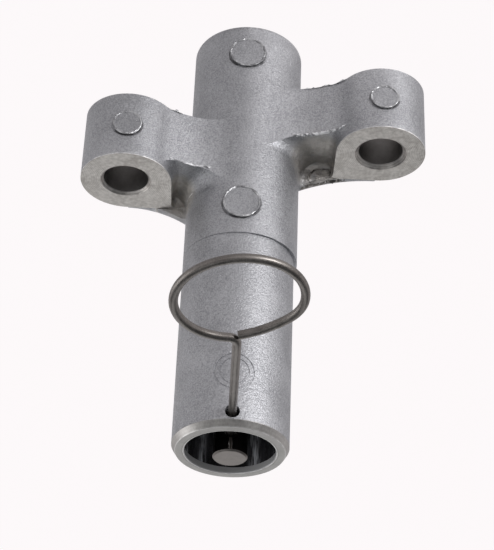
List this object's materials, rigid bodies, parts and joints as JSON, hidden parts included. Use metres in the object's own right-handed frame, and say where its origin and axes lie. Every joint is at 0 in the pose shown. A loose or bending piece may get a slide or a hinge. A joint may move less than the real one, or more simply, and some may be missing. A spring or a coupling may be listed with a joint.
{
  "type": "timing belt tensioner",
  "caption": "Hydraulic timing belt tensioner: closed-end cast cylinder with offset bolt ears, a push rod in its mouth and a ring pin that locks the rod.",
  "frame": {"origin": "centre of the closed end's flat face, on the cylinder's axis", "axes": "+Z along the cylinder's axis to its open mouth; -Y is the front, where the release pin stands out; +X is the side of the bolt ear nearer the mouth"},
  "size_m": [0.0698, 0.0716, 0.0972],
  "materials": {
    "cast_aluminium": "as-cast, blasted, with machined faces",
    "steel": "ground",
    "rod_steel": "ground",
    "spring_steel": "drawn wire",
    "pressed_steel": "rolled",
    "pin_wire": "drawn wire",
    "seal_rubber": "matt",
    "wear_plastic": "filled, matt",
    "guide_bronze": "sintered"
  },
  "bodies": {
    "housing": {"housing": "cast_aluminium", "cylinder_sleeve": "steel", "sleeve_o_ring": "seal_rubber", "return_spring": "spring_steel", "rod_guide": "guide_bronze", "seal_backup_washer": "pressed_steel", "oil_seal_case": "pressed_steel", "oil_seal_lip": "seal_rubber", "garter_spring": "spring_steel", "seal_retaining_ring": "spring_steel"},
    "rod": {"push_rod": "rod_steel", "wear_ring": "wear_plastic", "plunger": "steel", "check_ball": "steel", "check_ball_spring": "spring_steel", "check_ball_cage": "pressed_steel"},
    "pin": {"release_pin": "pin_wire"}
  },
  "joints": [
    {"name": "rod_slide", "type": "slide", "parent": "housing", "child": "rod", "axis": [0, 0, 1], "range_m": [0, 0.0088], "deforming": ["return_spring"]},
    {"name": "pin_pull", "type": "slide", "parent": "housing", "child": "pin", "axis": [0, -1, 0], "range_m": [0, 0.0748]}
  ],
  "couplings": [
    {"joint": "pin_pull", "follows": "rod_slide", "ratio": 8.5}
  ]
}
